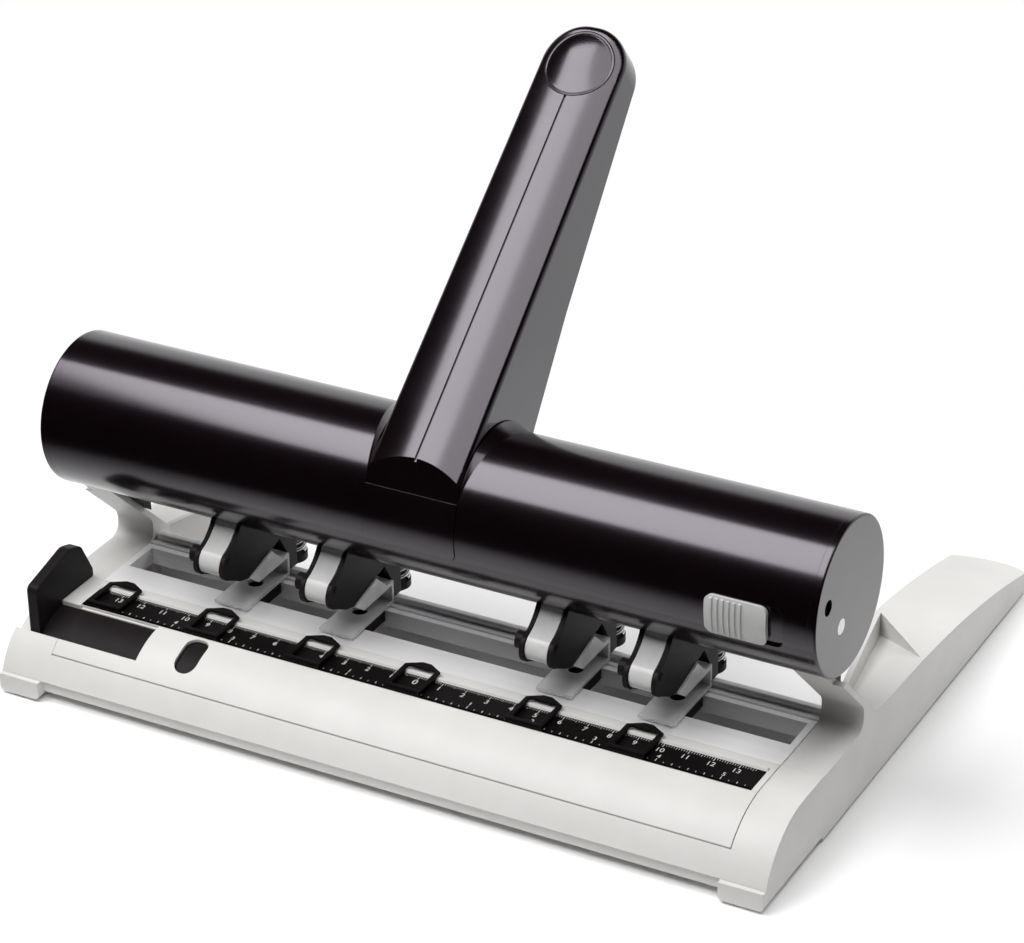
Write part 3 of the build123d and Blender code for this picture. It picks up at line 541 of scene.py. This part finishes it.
def dome(share, turn):
    """The rise of the pad at a share of its radius, steeper on one side than on the other."""
    lean = 1 + dome_lean * share * math.cos(turn - steepest)
    return dome_rim + dome_height * (1 - share**2) * lean


def pad_point(away, rise, turn):
    """A point at a distance and a turn from the pad's middle, a rise above the lever's crowned top."""
    across = away * math.cos(turn)
    crown = math.sqrt(crown_radius**2 - across**2) - crown_radius
    place = lever_front + lever_along * (pad_place + away * math.sin(turn)) + lever_up * (crown + rise)
    return (place + Vector((across, 0, 0))) * MM


print("pad height in the middle", dome(0, 0), "mm")

# %% [markdown]
# The rings are joined by quads, a fan of triangles closes the middle, and one flat face closes the
# underside, so that the pad is a solid piece. Its own black has edges that are hardly rounded, because a
# wider rounding would wash out the fine groove.

# %% Build the thumb pad
dome_rings = 14
pad_steps = 96
turns = [math.tau * step / pad_steps for step in range(pad_steps)]
pad = bmesh.new()
middle = pad.verts.new(pad_point(0, dome(0, 0), 0))
rings = []
for ring in range(1, dome_rings + 1):
    share = ring / dome_rings
    spots = [pad_point(dome_radius * share, dome(share, turn), turn) for turn in turns]
    rings.append([pad.verts.new(spot) for spot in spots])
for away, rise in groove_profile:
    rings.append([pad.verts.new(pad_point(away, rise, turn)) for turn in turns])
for step in range(pad_steps):
    after = (step + 1) % pad_steps
    pad.faces.new((middle, rings[0][step], rings[0][after]))
    for inner, outer in zip(rings, rings[1:]):
        pad.faces.new((inner[step], outer[step], outer[after], inner[after]))
pad.faces.new(reversed(rings[-1]))
smooth_sides(pad)
pad_black = black_moulding("pad_moulding", edge=0.02 * MM)
finish_piece(pad, "thumb_pad", pad_black, "press")
print("thumb pad rings", len(rings))

# %% [markdown]
# ## Return springs
#
# When the lever goes down, each spring at the back of a head gets shorter, but each coil here is wound once,
# at the length of the imported spring, and rides on its head. A Screw modifier could wind the coil, but only
# with an even pitch. A curve with a round bevel was chosen, because the wire then runs closer at both ends,
# as on a spring that is ground flat to stand on its seat.

# %% Wind the wire
wire = 1.2 * MM
spring_turns = 6
points_per_turn = 28
end_closeness = 0.5


def coil_wire(low, high):
    """A tube of wire that winds up inside a box, as a bmesh."""
    middle = (low + high) / 2
    radius = (high.x - low.x - wire) / 2
    climb = high.z - low.z - wire
    curve = bpy.data.curves.new("coil", "CURVE")
    curve.dimensions = "3D"
    curve.bevel_depth = wire / 2
    curve.bevel_resolution = 2
    curve.use_fill_caps = True
    line = curve.splines.new("POLY")
    count = spring_turns * points_per_turn
    line.points.add(count)
    for step, point in enumerate(line.points):
        share = step / count
        angle = math.tau * spring_turns * share
        rise = share - end_closeness * math.sin(math.tau * share) / math.tau
        spot = (middle.x + radius * math.cos(angle), middle.y + radius * math.sin(angle))
        point.co = (*spot, low.z + wire / 2 + climb * rise, 1)
    mesh = bmesh.new()
    add_curve(mesh, curve)
    smooth_sides(mesh)
    return mesh


# %% Set the springs on the heads
for number in range(1, 5):
    low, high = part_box(f"return_spring_{number}")
    coil = coil_wire(low, high)
    spring = finish_piece(coil, f"coil_spring_{number}", finishes["steel"], f"head_{number}")
    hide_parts(f"return_spring_{number}")
    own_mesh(spring)

# %% [markdown]
# ## Scale markers
#
# Six markers slide along the scale. Each is a thin black frame shaped like a house whose roof points to the
# paper, with a rib across its front and a tongue below that runs in a groove of the base. The opening could
# be cut out of a plate, but a closed flat curve with a smaller curve inside fills to that frame by itself,
# and its bevel rounds every edge. First the outline's corners are turned into arcs. Depths are measured in
# millimetres from the front edge of the punch, heights from its foot.

# %% Round the corners of an outline
def rounded(corners, radius, steps=5):
    """The points of a closed outline whose corners are turned into arcs."""
    points = []
    for index, corner in enumerate(corners):
        before = (corners[index - 1] - corner).normalized()
        after = (corners[(index + 1) % len(corners)] - corner).normalized()
        half_angle = before.angle(after) / 2
        middle = corner + (before + after).normalized() * (radius / math.sin(half_angle))
        first = corner + before * (radius / math.tan(half_angle)) - middle
        last = corner + after * (radius / math.tan(half_angle)) - middle
        for step in range(steps + 1):
            points.append(middle + first.slerp(last, step / steps))
    return points


marker_half, marker_tip_half = 7.5, 1.8
marker_front, marker_shoulder, marker_back = 29.7, 45.9, 49.3
marker_corners = (
    (-marker_half, marker_front),
    (marker_half, marker_front),
    (marker_half, marker_shoulder),
    (marker_tip_half, marker_back),
    (-marker_tip_half, marker_back),
    (-marker_half, marker_shoulder),
)
opening_half, opening_front, opening_back = 5.2, 32.2, 45.1
opening_corners = (
    (-opening_half, opening_front),
    (opening_half, opening_front),
    (opening_half, opening_back),
    (-opening_half, opening_back),
)
marker_outline = rounded([Vector(corner) for corner in marker_corners], radius=1.0)
marker_opening = rounded([Vector(corner) for corner in opening_corners], radius=0.6)
print("marker outline", len(marker_outline), "points, opening", len(marker_opening))

# %% The flat frame of a marker
frame_low, frame_high = 29.1, 30.0
frame_edge = 0.2
front_edge = -125.0


def house_frame(x):
    """A flat frame with a pitched end and an opening, as a bmesh in place on the scale."""
    curve = bpy.data.curves.new("frame", "CURVE")
    curve.dimensions = "2D"
    curve.fill_mode = "BOTH"
    curve.extrude = ((frame_high - frame_low) / 2 - frame_edge) * MM
    curve.bevel_depth = frame_edge * MM
    curve.bevel_resolution = 2
    curve.offset = -frame_edge * MM
    for points in (marker_outline, marker_opening):
        line = curve.splines.new("POLY")
        line.points.add(len(points) - 1)
        for point, spot in zip(line.points, points):
            point.co = ((x + spot.x) * MM, (spot.y + front_edge) * MM, 0, 1)
        line.use_cyclic_u = True
    mesh = bmesh.new()
    add_curve(mesh, curve, (0, 0, (frame_low + frame_high) / 2 * MM))
    return mesh


# %% [markdown]
# Four plain blocks complete each marker: the rib, the tongue below it, and a low rail under either side of
# the frame, just clear of the print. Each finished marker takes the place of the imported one.

# %% Set the markers on the scale
rib_back, rib_low, rib_high = 31.0, 28.4, 30.3
tongue_half, tongue_front, tongue_back = 7.2, 30.1, 30.6
tongue_low, tongue_high = 25.8, 28.5
rail_inner, rail_outer, rail_back, rail_high = 5.5, 7.3, 42.6, 29.3
marker_blocks = (
    ((-marker_half, marker_front, rib_low), (marker_half, rib_back, rib_high)),
    ((-tongue_half, tongue_front, tongue_low), (tongue_half, tongue_back, tongue_high)),
    ((-rail_outer, rib_back, rib_low), (-rail_inner, rail_back, rail_high)),
    ((rail_inner, rib_back, rib_low), (rail_outer, rail_back, rail_high)),
)
marker_black = finishes["scale_black"]
for number in range(1, 7):
    low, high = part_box(f"marker_{number}")
    x = (low.x + high.x) / 2 / MM
    shift = Vector((x, front_edge, 0))
    house = house_frame(x)
    for corner, opposite in marker_blocks:
        add_block(house, (Vector(corner) + shift) * MM, (Vector(opposite) + shift) * MM)
    body = f"marker_slider_{number}"
    piece = finish_piece(house, f"marker_frame_{number}", marker_black, body)
    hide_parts(f"marker_{number}")
print("markers", number)

# %% [markdown]
# ## Floor and light
#
# The punch stands on a white sheet. A plain sheet would show its edge in some views, so this one is a matte
# surface that takes the shadow close to the punch, and further out it fades into the white that the camera
# sees all round.

# %% The white sheet
sheet_half = 1.5
sheet_near, sheet_far = 0.15, 0.30
sheet_oval = (0.8, 1, 1)
sheet_gap = 0.2 * MM


def white_sheet():
    """Matte paper that gives way to a transparent shader between two distances from the middle."""
    material, shader, start = new_finish(
        "white_sheet", IOR=1.3, Specular_IOR_Level=0.1, Base_Color=(0.95, 0.95, 0.95, 1)
    )
    link(spread(grain(start, scale=3), 0.70, 0.72), shader, "Roughness")
    place = start.node("ShaderNodeTexCoord", output="Object")
    oval = start.node("ShaderNodeMapping", None, {"Vector": place, "Scale": sheet_oval})
    away = start.node("ShaderNodeVectorMath", {"operation": "LENGTH"}, {0: oval}, output="Value")
    reach = {"Value": away, "From Min": sheet_near, "From Max": sheet_far}
    fade = start.node("ShaderNodeMapRange", {"interpolation_type": "SMOOTHSTEP"}, reach)
    clear = start.node("ShaderNodeBsdfTransparent", output="BSDF")
    paper = Value(start.tree, shader.outputs["BSDF"])
    both = start.node("ShaderNodeMixShader", None, {0: fade, 1: paper, 2: clear}, output="Shader")
    link(both, start.tree.nodes["Material Output"], "Surface")
    return material


floor_mesh = bmesh.new()
bmesh.ops.create_grid(floor_mesh, x_segments=8, y_segments=8, size=sheet_half)
floor_data = bpy.data.meshes.new("floor")
floor_mesh.to_mesh(floor_data)
floor_mesh.free()
floor_data.materials.append(white_sheet())
floor = bpy.data.objects.new("floor", floor_data)
floor.location.z = cad_box[0][2] - sheet_gap
bpy.context.scene.collection.objects.link(floor)
print("sheet", round(sheet_gap / MM, 1), "mm under the feet")

# %% [markdown]
# A soft box hangs above and in front of the punch, and the tube and the lever reflect it as one broad band
# with a firm lower edge. It is made of two lamps side by side, the right one dimmer, so the lever grows
# darker toward its right side. A third lamp behind the punch lifts the long legs, and is hidden from
# reflections.

# %% The lamps
def soft_box(name, place, width, length, power, mirrored=True):
    """A lamp that faces straight down."""
    lamp = bpy.data.lights.new(name, "AREA")
    lamp.shape = "RECTANGLE"
    lamp.size = width
    lamp.size_y = length
    lamp.energy = power
    stand = bpy.data.objects.new(name, lamp)
    stand.location = place
    stand.visible_glossy = mirrored
    bpy.context.scene.collection.objects.link(stand)
    print("lamp", name, "of", power, "watts")


soft_box("left_box", (-0.58, -0.58, 1.35), width=0.80, length=1.14, power=19.6)
soft_box("right_box", (0.28, -0.58, 1.35), width=0.92, length=1.14, power=11.4)
soft_box("rear_box", (0.30, 0.85, 0.80), width=0.80, length=0.50, power=6.0, mirrored=False)

# %% [markdown]
# Black plastic shows what surrounds it, so the room matters as much as the lamps: it is dark in front, which
# keeps the tube black below the band, and it has a bright low wall behind, which draws a thin light line
# along the tube's top. A picture of a studio could serve, but two ramps over the direction are enough. The
# camera itself sees plain white, and so does a ray that has passed through the clear guides.

# %% The room
room_dark = 0.008
wall_glow = 0.9
world = bpy.data.worlds.new("studio")
bpy.context.scene.world = world
world.use_nodes = True
air = world.node_tree.nodes["Background"]
air.inputs["Color"].default_value = (1, 1, 1, 1)
start = Value(world.node_tree)
heading = start.node("ShaderNodeTexCoord", output="Generated")
behind = start.node("ShaderNodeSeparateXYZ", None, {0: heading}, output="Y")
height = start.node("ShaderNodeSeparateXYZ", None, {0: heading}, output="Z")
back_wall = start.node("ShaderNodeMapRange", None, {"Value": behind, "From Min": 0.1, "From Max": 0.6})
low_wall = start.node("ShaderNodeMapRange", None, {"Value": height, "From Min": 0.56, "From Max": 0.40})
room = room_dark + wall_glow * (back_wall * low_wall)
seen = start.node("ShaderNodeLightPath", output="Is Camera Ray")
through = start.node("ShaderNodeLightPath", output="Is Transmission Ray")
white = start.math("MAXIMUM", seen, through)
link(room + white * (1 - room), air, "Strength")
bpy.context.scene.view_settings.view_transform = "Standard"
print("room nodes", len(world.node_tree.nodes))

# %% [markdown]
# ## The camera of the photograph
#
# The photograph was taken from the front right and from above, with a long lens. A camera could be aimed by
# eye, but then no edge would quite fall in place. Its place and three angles were found by lining up corners
# of the punch, and the lens follows from the picture's width.

# %% Camera
camera_place = (0.583, -1.057, 0.7329)
yaw, pitch, roll = math.radians(29.08), math.radians(28.65), math.radians(-1.2)
film_width, focal_length = 36, 127.88
farthest = 20
toward = Vector((math.sin(yaw) * math.cos(pitch), -math.cos(yaw) * math.cos(pitch), math.sin(pitch)))
right = Vector((math.cos(yaw), math.sin(yaw), 0))
upward = toward.cross(right)
rolled_right = right * math.cos(roll) + upward * math.sin(roll)
rolled_up = upward * math.cos(roll) - right * math.sin(roll)
turn = Matrix((rolled_right, rolled_up, toward)).transposed().to_4x4()
lens = bpy.data.cameras.new("camera")
lens.sensor_fit = "HORIZONTAL"
lens.sensor_width = film_width
lens.lens = focal_length
lens.clip_end = farthest
camera = bpy.data.objects.new("camera", lens)
camera.matrix_world = Matrix.Translation(camera_place) @ turn
bpy.context.scene.collection.objects.link(camera)
bpy.context.scene.camera = camera
print("camera", round(Vector(camera_place).length, 2), "m from the middle")
